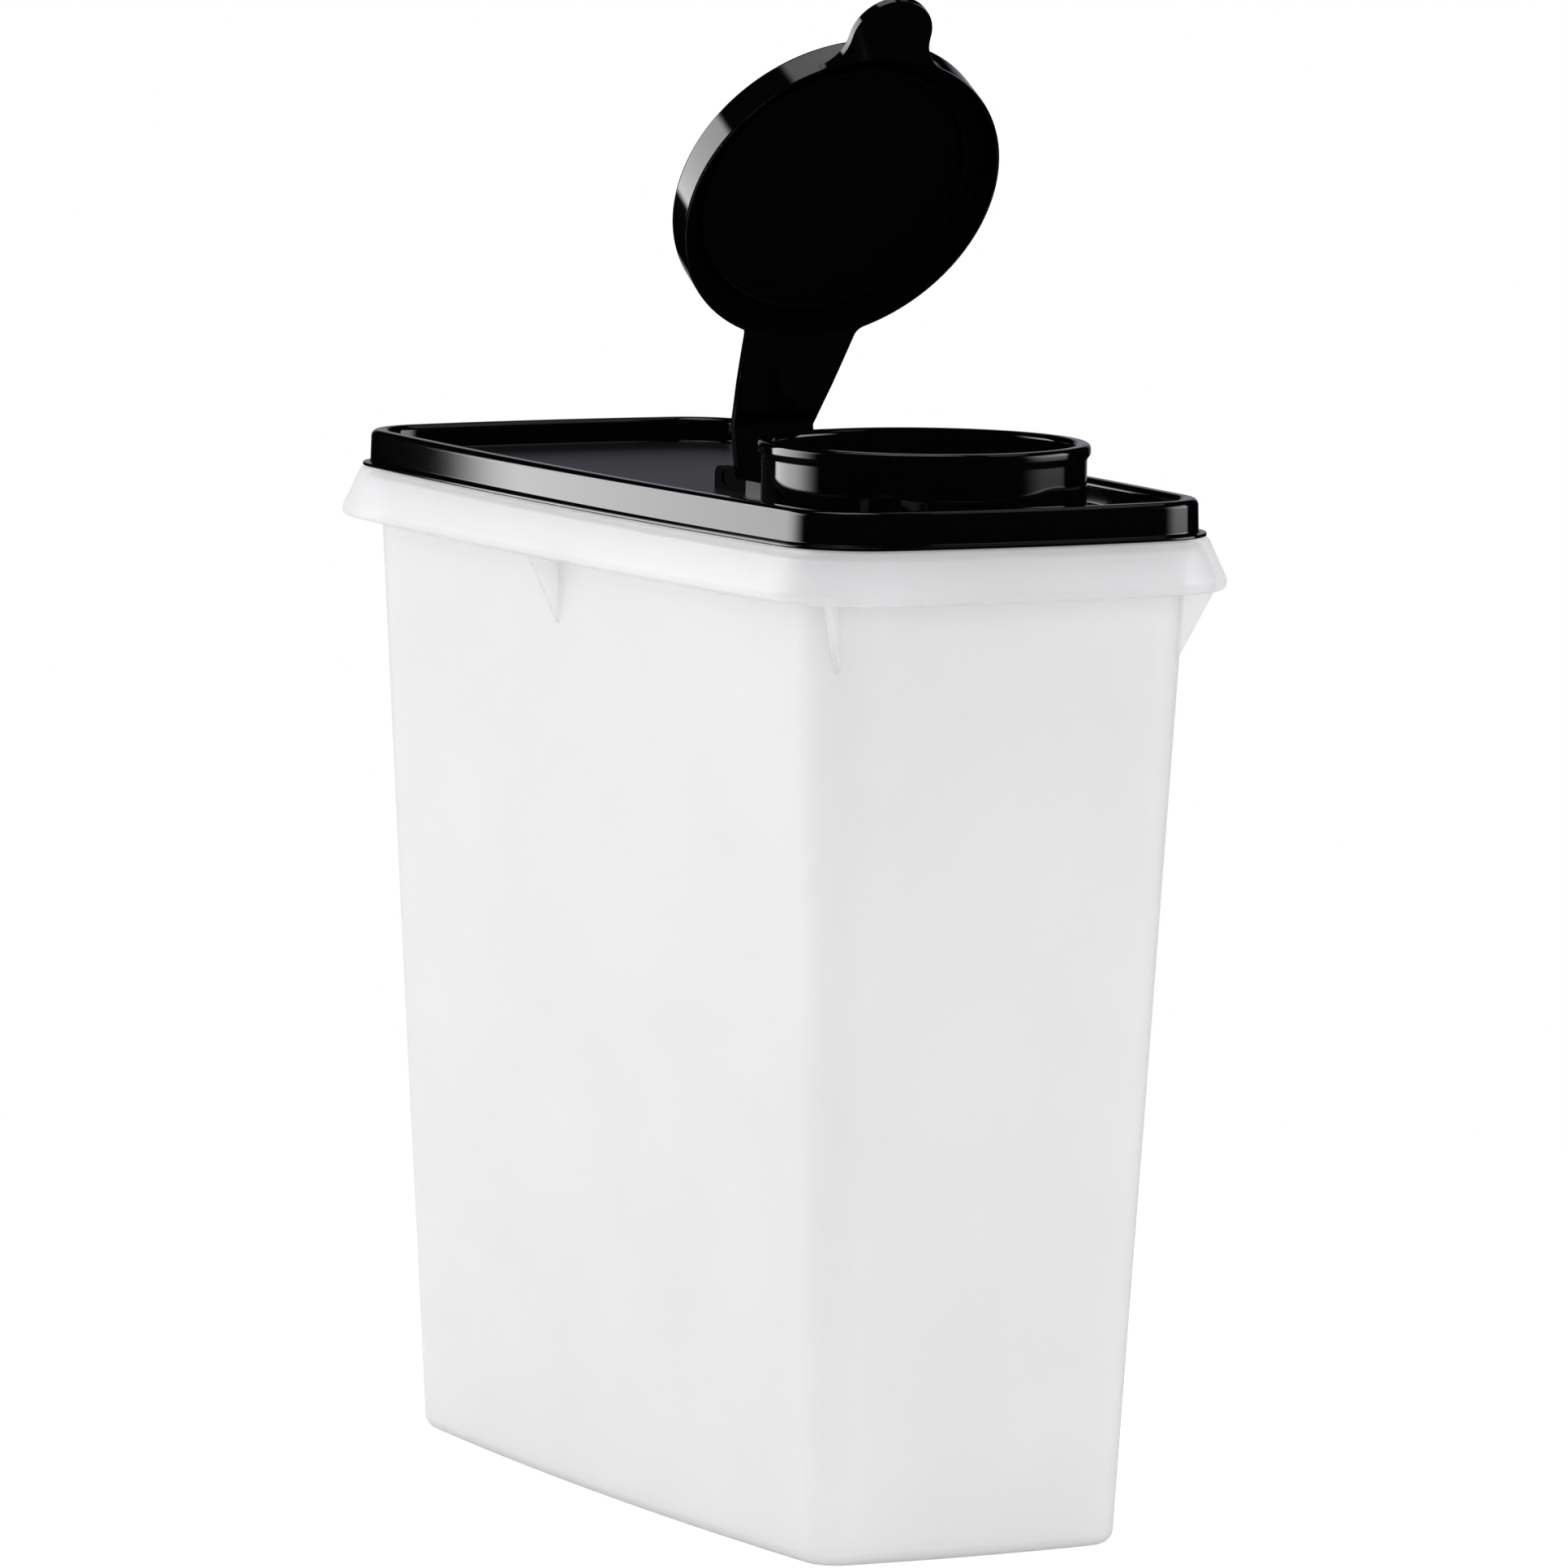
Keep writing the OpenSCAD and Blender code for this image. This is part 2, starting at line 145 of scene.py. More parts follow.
# Finish that only the looks have: how far the border's inner face leans, where the matt of the ears ends, and
# the tab's corners and root, which are drawn rounder and softer than its solid, as the photograph shows.
BORDER_DRAFT = 0.5
TAIL_SHINE_X = 12.0
TAB_CORNER = 9.7
TAB_FILLET = 9.0

# the camera, fitted to the photograph, with lengths in millimetres
SENSOR_WIDTH = 36.0
LENS_LENGTH = 263.29
CAMERA_AROUND = 62.538   # degrees from the -Y side towards +X
CAMERA_UP = 6.558        # degrees above level
CAMERA_ROLL = 0.74
CAMERA_TARGET = (8.59, -0.59, 161.32)
CAMERA_DISTANCE = 2588.42

# the studio
FLOOR_RADIUS = 1600
PAPER_NEAR, PAPER_FAR = 200, 600     # the paper's own shade gives way to plain white between these radii
LAMP_AIM = 200           # the height that the lamps point at
STRAIGHT_BEHIND = (-0.887, 0.462, 0.0)   # level, from the object away from the camera


# outlines and paths
def inset(shape, by):
    """The same outline drawn in by this much all round."""
    half_long, half_wide, corner, *bows = shape
    return Outline(half_long - by, half_wide - by, corner - by, *bows)


WALL = inset(LIP, WALL_OUT)


def wall_at(z):
    """The bin's outer outline at height z: tapered below the rim, upright above it."""
    share = min(z / WALL_TOP, 1.0)
    return Outline(*(low + (high - low) * share for low, high in zip(BASE, WALL)))


def corner_centre(shape):
    """The centre of an outline's corner arc."""
    return shape.half_long - shape.corner - shape.bow_short, shape.half_wide - shape.corner - shape.bow_long


def arc(x, y, radius, start, end, steps):
    """Points on an arc round x, y, from one angle to the other with both ends in."""
    turns = [radians(start + (end - start) * i / steps) for i in range(steps + 1)]
    return [(x + radius * cos(turn), y + radius * sin(turn)) for turn in turns]


def circle(radius, x=0.0, y=0.0, steps=144):
    """Points round a circle."""
    return arc(x, y, radius, 0, 360, steps)[:-1]


def outline(shape, end_steps=6, corner_steps=18, side_steps=16):
    """A rounded rectangle with bowed sides, made of arcs that meet without a kink."""
    corner = shape.corner
    corner_x, corner_y = corner_centre(shape)
    side_radius = (corner_x ** 2 + (corner + shape.bow_long) ** 2 - corner ** 2) / (2 * shape.bow_long)
    end_radius = (corner_y ** 2 + (corner + shape.bow_short) ** 2 - corner ** 2) / (2 * shape.bow_short)
    side_y = shape.half_wide - side_radius
    end_x = shape.half_long - end_radius
    end_turn = degrees(atan2(corner_y, corner_x - end_x))
    side_turn = degrees(atan2(corner_y - side_y, corner_x))
    quarter = arc(end_x, 0, end_radius, 0, end_turn, end_steps)[:-1]
    quarter += arc(corner_x, corner_y, corner, end_turn, side_turn, corner_steps)[:-1]
    quarter += arc(0, side_y, side_radius, side_turn, 90, side_steps)
    back = quarter[-2::-1]
    far_end = [(-x, y) for x, y in back] + [(-x, -y) for x, y in quarter[1:]]
    return quarter + far_end + [(x, -y) for x, y in back[:-1]]


def eased(corners, closed=False, steps=6):
    """A path through corners of x, y and radius, each rounded to its radius or as far as its sides allow."""
    path = []
    count = len(corners)
    for i, (x, y, radius) in enumerate(corners):
        if radius <= 0 or (not closed and i in (0, count - 1)):
            path.append((x, y))
            continue
        here = Vector((x, y))
        back = Vector(corners[i - 1][:2]) - here
        onward = Vector(corners[(i + 1) % count][:2]) - here
        longest = min(back.length, onward.length) * 0.48
        back.normalize()
        onward.normalize()
        half_angle = back.angle(onward) / 2
        if half_angle > pi / 2 - 0.02:
            path.append((x, y))
            continue
        # an arc takes less than half of the side, so that it never meets the next corner's
        cut = min(radius / tan(half_angle), longest)
        centre = here + (back + onward).normalized() * (cut * tan(half_angle) / sin(half_angle))
        start, end = here + back * cut - centre, here + onward * cut - centre
        # this angle is counted clockwise
        turn = -start.angle_signed(end)
        for k in range(steps + 1):
            c, s = cos(turn * k / steps), sin(turn * k / steps)
            path.append((centre.x + start.x * c - start.y * s, centre.y + start.x * s + start.y * c))
    return path


def mirrored(half):
    """A half outline from the inner end outwards, closed by its mirror image."""
    return half + [(x, -y) for x, y in reversed(half)]


# stands a plate that was worked lying flat on its edge, so that it faces along Y
UPRIGHT = Matrix.Rotation(radians(90), 4, "X")


# meshes
def ring(bm, points, z):
    """A ring of mesh points at one height."""
    return [bm.verts.new((x * MM, y * MM, z * MM)) for x, y in points]


def stack(bm, rings):
    """The skin from each ring to the next."""
    for low, high in zip(rings, rings[1:]):
        for i in range(len(low)):
            j = (i + 1) % len(low)
            bm.faces.new((low[i], low[j], high[j], high[i]))


def fill(bm, *loops):
    """A flat face across one loop, or between an outer loop and a hole."""
    if len(loops) == 1:
        bm.faces.new(loops[0])
        return
    edges = []
    for loop in loops:
        for pair in zip(loop, loop[1:] + loop[:1]):
            edges.append(bm.edges.get(pair) or bm.edges.new(pair))
    bmesh.ops.triangle_fill(bm, use_beauty=True, edges=edges)


def plate(bm, points, low, high, hole=None):
    """A flat plate with the given outline, and a hole through it if one is given."""
    rims = [(ring(bm, points, low), ring(bm, points, high))]
    if hole:
        rims.append((ring(bm, hole, low), ring(bm, hole, high)))
    for pair in rims:
        stack(bm, pair)
    for loops in zip(*rims):
        fill(bm, *loops)


def piece(name, bm, material, body, place=None, edge=0.0, stands_for=None):
    """Turns the worked mesh into a named piece that rides on its body."""
    if place is not None:
        bmesh.ops.transform(bm, matrix=place, verts=bm.verts)
    bmesh.ops.recalc_face_normals(bm, faces=bm.faces)
    for face in bm.faces:
        face.smooth = True
    mesh = bpy.data.meshes.new(name)
    bm.to_mesh(mesh)
    bm.free()
    mesh.materials.append(material)
    obj = bpy.data.objects.new(name, mesh)
    bpy.context.scene.collection.objects.link(obj)
    if edge:
        bevel = obj.modifiers.new("eased edges", "BEVEL")
        bevel.width = edge * MM
        bevel.segments = 3
        bevel.limit_method = "ANGLE"
        bevel.angle_limit = radians(40)
    shading = obj.modifiers.new("even shading", "WEIGHTED_NORMAL")
    shading.keep_sharp = False
    shading.weight = 80
    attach(obj, body)
    if stands_for:
        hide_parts(stands_for)
    return obj


# materials
def linear(colour):
    """sRGB hex to the linear colour that the shaders take."""
    parts = [int(colour[i:i + 2], 16) / 255 for i in (1, 3, 5)]
    return [p / 12.92 if p <= 0.04045 else ((p + 0.055) / 1.055) ** 2.4 for p in parts] + [1.0]


def node(tree, kind, settings=None, links=None):
    """Adds a node, sets its values and links its sockets.

    A link names the node that a socket takes its value from, and the name or number of that node's output.
    """
    new = tree.nodes.new(kind)
    for key, value in (settings or {}).items():
        if key in new.bl_rna.properties.keys():
            setattr(new, key, value)
        else:
            new.inputs[key].default_value = value
    for key, (source, output) in (links or {}).items():
        tree.links.new(source.outputs[output], new.inputs[key])
    return new


def seen_by_ray(tree, otherwise, shown):
    """Shows each kind of ray that is named its own shader, and every other ray the plain one."""
    path = node(tree, "ShaderNodeLightPath")
    seen = otherwise
    for ray, shader in shown.items():
        seen = node(tree, "ShaderNodeMixShader", links={0: (path, ray), 1: (seen, 0), 2: (shader, 0)})
    return seen


def new_material(name):
    """An empty material, its node tree, and a node that tells where each point of the piece lies."""
    material = bpy.data.materials.new(name)
    material.use_nodes = True
    material.node_tree.nodes.clear()
    return material, material.node_tree, node(material.node_tree, "ShaderNodeTexCoord")


def per_mm(size):
    """Pattern scale for features of this size in millimetres."""
    return 1.0 / (size * MM)


def natural_polypropylene(name, dark, light, clear=0.0, clear_to_lamps=0.0):
    """Injection moulded polypropylene with no pigment: milky, with a satin skin from the mould's fine grain.

    Dark and light are the ends of its faint clouds. Clear is the share of light that goes straight through,
    so that what lies close behind shows, and clear_to_lamps is the same for the lamps' light.
    """
    material, t, where = new_material(name)
    # the flow of the melt leaves broad, very faint clouds about 40 mm across
    clouds = node(t, "ShaderNodeTexNoise", {"Scale": per_mm(40), "Detail": 3.0, "Roughness": 0.5},
                  {"Vector": (where, "Object")})
    tint = node(t, "ShaderNodeValToRGB", links={"Fac": (clouds, "Fac")})
    for end, (position, colour) in zip(tint.color_ramp.elements, ((0.3, dark), (0.7, light))):
        end.position = position
        end.color = linear(colour)
    # the mould's grain is about 0.05 mm, drawn at 0.9 mm so that it shows
    grain = node(t, "ShaderNodeTexNoise", {"Scale": per_mm(0.9), "Detail": 2.0},
                 {"Vector": (where, "Object")})
    rough = node(t, "ShaderNodeMapRange", {"To Min": 0.36, "To Max": 0.46}, {"Value": (grain, "Fac")})
    bump = node(t, "ShaderNodeBump", {"Strength": 0.12, "Distance": 0.02 * MM}, {"Height": (grain, "Fac")})
    skin = node(t, "ShaderNodeBsdfPrincipled", {"IOR": 1.49, "Transmission Weight": 0.3},
                {"Base Color": (tint, "Color"), "Roughness": (rough, "Result"), "Normal": (bump, "Normal")})
    # about a third of the light soaks through the thin wall and comes out spread on the other side
    soaked = node(t, "ShaderNodeBsdfTranslucent", links={"Color": (tint, "Color")})
    body = node(t, "ShaderNodeMixShader", {"Fac": 0.35}, {1: (skin, "BSDF"), 2: (soaked, "BSDF")})
    if clear:
        straight = node(t, "ShaderNodeBsdfTransparent", {"Color": linear("#ffffff")})
        path = node(t, "ShaderNodeLightPath")
        share = node(t, "ShaderNodeMapRange", {"To Min": clear, "To Max": clear_to_lamps},
                     {"Value": (path, "Is Shadow Ray")})
        body = node(t, "ShaderNodeMixShader",
                    links={"Fac": (share, "Result"), 1: (body, "Shader"), 2: (straight, "BSDF")})
    node(t, "ShaderNodeOutputMaterial", links={"Surface": (body, "Shader")})
    return material


def black_polypropylene(name, rough_low, rough_high, wave_mm, wave, grain_mm, shine=0.5):
    """Injection moulded polypropylene full of carbon black. The polish of the mould sets its gloss."""
    material, t, where = new_material(name)
    grain = node(t, "ShaderNodeTexNoise", {"Scale": per_mm(grain_mm), "Detail": 3.0},
                 {"Vector": (where, "Object")})
    tint = node(t, "ShaderNodeValToRGB", links={"Fac": (grain, "Fac")})
    for end, colour in zip(tint.color_ramp.elements, ("#020203", "#050506")):
        end.color = linear(colour)
    rough = node(t, "ShaderNodeMapRange", {"To Min": rough_low, "To Max": rough_high},
                 {"Value": (grain, "Fac")})
    # the skin shrinks a little unevenly, which gives gloss plastic its slow waves
    waves = node(t, "ShaderNodeTexNoise", {"Scale": per_mm(wave_mm), "Detail": 1.0},
                 {"Vector": (where, "Object")})
    bump = node(t, "ShaderNodeBump", {"Strength": wave, "Distance": 0.05 * MM}, {"Height": (waves, "Fac")})
    skin = node(t, "ShaderNodeBsdfPrincipled", {"IOR": 1.49, "Specular IOR Level": shine},
                {"Base Color": (tint, "Color"), "Roughness": (rough, "Result"), "Normal": (bump, "Normal")})
    node(t, "ShaderNodeOutputMaterial", links={"Surface": (skin, "BSDF")})
    return material


MILKY = natural_polypropylene("natural_polypropylene_moulded_satin", "#f3f3f3", "#f5f5f5")
# the skirt and ribs stand clear of the wall, with light on both sides, so they are drawn a little greyer:
# this darker copy of the same plastic is painted shade. They also let light through, so the wall behind shows
MILKY_THIN_SHADED = natural_polypropylene("natural_polypropylene_moulded_thin_painted_shade", "#e1e1e2", "#e4e4e5",
                                   clear=0.5, clear_to_lamps=0.75)
GLOSS = black_polypropylene("black_polypropylene_moulded_gloss", rough_low=0.04, rough_high=0.07,
                            wave_mm=14.0, wave=0.1, grain_mm=1.5)
SATIN = black_polypropylene("black_polypropylene_moulded_satin", rough_low=0.3, rough_high=0.42,
                            wave_mm=3.0, wave=0.12, grain_mm=0.8)
# the matt mould leaves hardly any shine, and these parts show plain black in the photograph
MATT = black_polypropylene("black_polypropylene_moulded_matt", rough_low=0.5, rough_high=0.6,
                           wave_mm=3.0, wave=0.2, grain_mm=0.8, shine=0.012)


# the bin
def bin_shell():
    """Floor, tapered wall, flared skirt and rim in one skin."""
    rim = -RIM_STEP
    skirt = -SKIRT_REACH - WALL_OUT
    skirt_in = skirt + SKIRT_ACROSS
    # corners by inset from the wall's outer face, height and radius, from under the floor round to its top
    section = eased([
        (6.0, 0, 0), (0, 0, BASE_EDGE), (0, WALL_TOP, 0.5), (rim, RIM_FOOT, 0.5),
        (rim, LEDGE_LOW, 0.8), (skirt_in + SKIRT_SLOPE - 0.4, LEDGE_LOW, 1.2),
        (skirt_in + 0.4, SKIRT_BOTTOM + SKIRT_EDGE + 0.4, 3.0), (skirt_in + 0.3, SKIRT_BOTTOM, 0.75),
        (skirt, SKIRT_BOTTOM, 1.2), (skirt, SKIRT_BOTTOM + SKIRT_EDGE, 2.5),
        (skirt + SKIRT_SLOPE, LEDGE_TOP, 1.4), (rim, LEDGE_TOP, 0.3),
        (rim, RIM_TOP, 0.6), (rim + RIM_WALL, RIM_TOP, 0.6), (rim + RIM_WALL, RIM_FOOT, 0.5),
        (BIN_WALL, WALL_TOP, 0.5), (BIN_WALL, BIN_FLOOR, 4.0), (7.5, BIN_FLOOR, 0),
    ], steps=5)
    # long straight runs of the wall get rings every 20 mm or so, so that the taper stays even
    levels = []
    for (d, z), (next_d, next_z) in zip(section, section[1:] + section[-1:]):
        steps = ceil(abs(next_z - z) / 20) if abs(next_z - z) > 30 else 1
        levels += [(d + (next_d - d) * i / steps, z + (next_z - z) * i / steps) for i in range(steps)]
    bm = bmesh.new()
    rings = [ring(bm, outline(inset(wall_at(z), d)), z) for d, z in levels]
    stack(bm, rings)
    fill(bm, rings[0])
    fill(bm, rings[-1])
    points_round = len(rings[0])
    shell = piece("container_bin", bm, MILKY, "container", stands_for="container")
    # the skirt lies close in front of the wall, so the wall and the ribs show through it; its plastic is also
    # drawn greyer, as painted shade
    shell.data.materials.append(MILKY_THIN_SHADED)
    for k, ((d, _), (next_d, _)) in enumerate(zip(levels, levels[1:])):
        if max(d, next_d) <= rim and min(d, next_d) < rim - 0.2:
            for face in shell.data.polygons[k * points_round:(k + 1) * points_round]:
                face.material_index = 1


def rib(name, root, foot, out, place):
    """A thin triangular rib: a slim wedge between the wall and the underside of the skirt."""
    top = SKIRT_BOTTOM + 0.6
    low = top - RIB_DROP
    section = [(foot - RIB_SINK, low), (foot, low), (out, top), (out, top + 1), (root - RIB_SINK, top + 1)]
    bm = bmesh.new()
    plate(bm, section, -RIB_THICK / 2, RIB_THICK / 2)
    # the rib takes the see-through plastic that is drawn greyer as painted shade
    piece(name, bm, MILKY_THIN_SHADED, "container", place=place @ UPRIGHT, edge=0.25)


def ribs():
    """One rib under each long side of the skirt, and one under each corner at the spout's end."""
    high, low = wall_at(SKIRT_BOTTOM + 1), wall_at(SKIRT_BOTTOM - RIB_DROP)
    # how far past the lip a rib ends, just inside the skirt
    out = SKIRT_REACH - SKIRT_ACROSS - 0.1
    for word, turn in (("left", -90), ("right", 90)):
        place = Matrix.Translation((SIDE_RIB_X * MM, 0, 0)) @ Matrix.Rotation(radians(turn), 4, "Z")
        rib("skirt_rib_" + word, high.half_wide, low.half_wide, LIP.half_wide + out - 0.1, place)
    x, y = corner_centre(LIP)
    root, foot = [(sum(corner_centre(wall)) - x - y) / sqrt(2) + wall.corner for wall in (high, low)]
    for word, side in (("left", -1), ("right", 1)):
        place = Matrix.Translation((x * MM, side * y * MM, 0)) @ Matrix.Rotation(radians(45 * side), 4, "Z")
        rib("corner_rib_" + word, root, foot, LIP.corner + out, place)


# the lid
def lid_shell():
    """Raised border over the rim, recessed panel and pour collar, with the lip that grips the rim."""
    # corners by inset from the lip, height and radius, from the panel over the border and back under it
    border = eased([
        (BORDER_IN + 1.4, PANEL_TOP, 0), (BORDER_IN, PANEL_TOP, 1.0),
        (BORDER_IN - BORDER_DRAFT, BORDER_TOP, 1.6), (BORDER_OUT + BORDER_LEAN, BORDER_TOP, 1.5),
        (BORDER_OUT, LIP_LOW + 0.9, 0.7), (0.1, LIP_LOW + 0.75, 0.25), (0, LIP_LOW, 0.3),
        (RIM_OUT - LID_GAP, LIP_LOW, 0.2), (RIM_OUT - LID_GAP, ROOF, 0.3), (BORDER_CORE, ROOF, 0.3),
        (BORDER_CORE, PANEL_LOW, 0.2), (BORDER_CORE + 1.0, PANEL_LOW, 0),
    ], steps=8)
    # corners by distance from the collar's axis, height and radius, over its lip and down the bore
    collar = eased([
        (COLLAR_OUTSIDE + 2.0, PANEL_TOP, 0), (COLLAR_OUTSIDE, PANEL_TOP, 1.5),
        (COLLAR_OUTSIDE, COLLAR_TOP - 3.4, 1.2), (COLLAR_LIP, COLLAR_TOP - 2.3, 0.9),
        (COLLAR_LIP, COLLAR_TOP, 1.25), (COLLAR_BORE, COLLAR_TOP, 1.25),
        (COLLAR_BORE, PANEL_LOW, 0.2), (COLLAR_BORE + 1.0, PANEL_LOW, 0),
    ], steps=8)
    bm = bmesh.new()
    border_rings = [ring(bm, outline(inset(LIP, d)), z) for d, z in border]
    collar_rings = [ring(bm, circle(radius, COLLAR_X), z) for radius, z in collar]
    stack(bm, border_rings)
    stack(bm, collar_rings)
    fill(bm, border_rings[0], collar_rings[0])
    fill(bm, border_rings[-1], collar_rings[-1])
    lid = piece("lid_moulding", bm, GLOSS, "lid", stands_for="lid")
    # the recessed panel has the mould's satin texture
    lid.data.materials.append(SATIN)
    for face in lid.data.polygons:
        if abs(face.normal.z) > 0.999 and abs(face.center.z - PANEL_TOP * MM) < 0.05 * MM:
            face.material_index = 1


def hinge_ears():
    """Two low ears that hold the cap's pins, each with a long tail along the panel."""
    back, front = HINGE_X - KNUCKLE_HALF, HINGE_X + KNUCKLE_HALF
    foot = PANEL_TOP - 0.5
    side = eased([
        (back, foot, 0), (EAR_TAIL_X, foot, 0), (EAR_TAIL_X, EAR_TAIL_TOP, 1.0), (front, EAR_TAIL_TOP, 0.6),
        (front, EAR_TOP, 2.0), (back, EAR_TOP, 2.0),
    ], closed=True)
    pin_hole = circle(PIN_RADIUS + PIN_GAP, HINGE_X, HINGE_Z, steps=40)
    for word, low, high in (("left", EAR_IN, EAR_OUT), ("right", -EAR_OUT, -EAR_IN)):
        bm = bmesh.new()
        plate(bm, side, low, high, hole=pin_hole)
        everything = list(bm.verts) + list(bm.edges) + list(bm.faces)
        bmesh.ops.bisect_plane(bm, geom=everything, plane_co=(TAIL_SHINE_X * MM, 0, 0), plane_no=(1, 0, 0))
        ear = piece("hinge_ear_" + word, bm, MATT, "lid", place=UPRIGHT, edge=0.3)
        # the knuckle is matt, and the end of the tail is polished as the lid is
        ear.data.materials.append(GLOSS)
        for face in ear.data.polygons:
            if face.center.x > TAIL_SHINE_X * MM:
                face.material_index = 1


# The flip cap is worked out shut and then swung to the photographed angle. SWING places what is measured from
# the hinge axis, and ON_CAP what is measured from the cap's own axis.
SWING = Matrix.Translation((HINGE_X * MM, 0, HINGE_Z * MM)) @ Matrix.Rotation(radians(-OPEN_ANGLE), 4, "Y")
ON_CAP = SWING @ Matrix.Translation((HINGE_REACH * MM, 0, 0))


def cap_dish():
    """The shallow round cap with its sealing ring."""
    # corners by distance from the cap's axis, height and radius, from the roof inside round to the crown
    section = eased([
        (3.0, CAP_ROOF, 0), (SEAL_RADIUS - SEAL_THICK, CAP_ROOF, 0.4),
        (SEAL_RADIUS - SEAL_THICK, SEAL_FOOT, 0.55), (SEAL_RADIUS, SEAL_FOOT, 0.55),
        (SEAL_RADIUS, CAP_ROOF, 0.4), (CAP_INSIDE - 0.4, CAP_ROOF, 0.6),
        (CAP_INSIDE - 0.4, CAP_EDGE + 5, 0.5), (CAP_INSIDE, CAP_EDGE, 0.3), (CAP_RADIUS, CAP_EDGE, 0.35),
        (CAP_RADIUS - 0.2, CAP_CROWN, 1.3), (3.0, CAP_CROWN, 0),
    ], steps=8)
    bm = bmesh.new()
    rings = [ring(bm, circle(radius), z) for radius, z in section]
    stack(bm, rings)
    fill(bm, rings[0])
    fill(bm, rings[-1])
    cap = piece("flip_cap_dish", bm, GLOSS, "flip_cap", place=ON_CAP, stands_for="flip_cap")
    # the underside came off a mould that was left matt
    cap.data.materials.append(MATT)
    shut = ON_CAP.inverted()
    for face in cap.data.polygons:
        at = shut @ face.center / MM
        if at.z < CAP_ROOF + 0.3 and at.xy.length < CAP_INSIDE + 0.1:
            face.material_index = 1


def cap_root(half, fillet, end):
    """The start of a half outline that leaves the cap's round side, to this angle on the fillet there."""
    y = half + fillet
    x = sqrt((CAP_RADIUS + fillet) ** 2 - y * y)
    meet = degrees(atan2(y, x))
    return arc(0, 0, CAP_RADIUS - ROOT_SINK, 2, meet, 6) + arc(x, y, fillet, meet + 180, end, 8)


def finger_tab():
    """The rounded tab that a finger lifts."""
    half = cap_root(TAB_HALF, TAB_FILLET, 270)
    half += arc(TAB_TIP - TAB_CORNER, TAB_HALF - TAB_CORNER, TAB_CORNER, 90, 0, 14)
    bm = bmesh.new()
    plate(bm, mirrored(half), CAP_EDGE, CAP_EDGE + STRAP_THICK)
    piece("finger_tab", bm, GLOSS, "flip_cap", place=ON_CAP, edge=0.5)


def strap():
    """The strap from the cap back to the knee of the hinge link, waisted towards the hinge."""
    foot = HINGE_REACH - KNEE_V
    half = cap_root(STRAP_HALF - 0.3, STRAP_FILLET, 262)
    # the waist
    half += [(foot - 17.5, STRAP_HALF - 1.2), (foot - 11.5, STRAP_HALF - 2.0), (foot - 6, BAR_HALF + 1.0),
             (foot - 1.5, BAR_HALF + 0.3), (foot, BAR_HALF)]
    bm = bmesh.new()
    plate(bm, [(-x, y) for x, y in mirrored(half)], CAP_EDGE, CAP_EDGE + STRAP_THICK)
    piece("cap_strap", bm, GLOSS, "flip_cap", place=ON_CAP, edge=0.45)


def hinge_link():
    """The bar between the ears, its two pins, and the link that carries the strap down to it."""
    half = LINK_WIDE / 2
    top, low = CAP_EDGE + STRAP_THICK, CAP_EDGE
    rise = atan2((top + low) / 2, KNEE_V)
    along, across = Vector((cos(rise), sin(rise))), Vector((-sin(rise), cos(rise)))
    knee_top = along * ((top - half * across.y) / along.y) + across * half
    knee_low = along * ((low + half * across.y) / along.y) - across * half
    leave = sqrt(BAR_RADIUS ** 2 - half ** 2)
    in_strap = KNEE_V + 5
    upper = eased([(in_strap, top, 0), (*knee_top, 2.4), (*(along * leave + across * half), 0)], steps=8)
    lower = eased([(*(along * leave - across * half), 0), (*knee_low, 2.0), (in_strap, low, 0)], steps=8)
    spread = degrees(atan2(half, leave))
    bar = arc(0, 0, BAR_RADIUS, degrees(rise) + spread, degrees(rise) - spread + 360, 28)
    bm = bmesh.new()
    plate(bm, upper[:-1] + bar + lower[1:], -BAR_HALF, BAR_HALF)
    piece("hinge_bar_and_link", bm, MATT, "flip_cap", place=SWING @ UPRIGHT, edge=0.3)
    start, end = BAR_HALF - PIN_SINK, EAR_OUT - 0.3
    for word, low, high in (("left", start, end), ("right", -end, -start)):
        bm = bmesh.new()
        plate(bm, circle(PIN_RADIUS, steps=40), low, high)
        piece("hinge_pin_" + word, bm, MATT, "flip_cap", place=SWING @ UPRIGHT, edge=0.25)


bin_shell()
ribs()
lid_shell()
hinge_ears()
cap_dish()
finger_tab()
strap()
hinge_link()


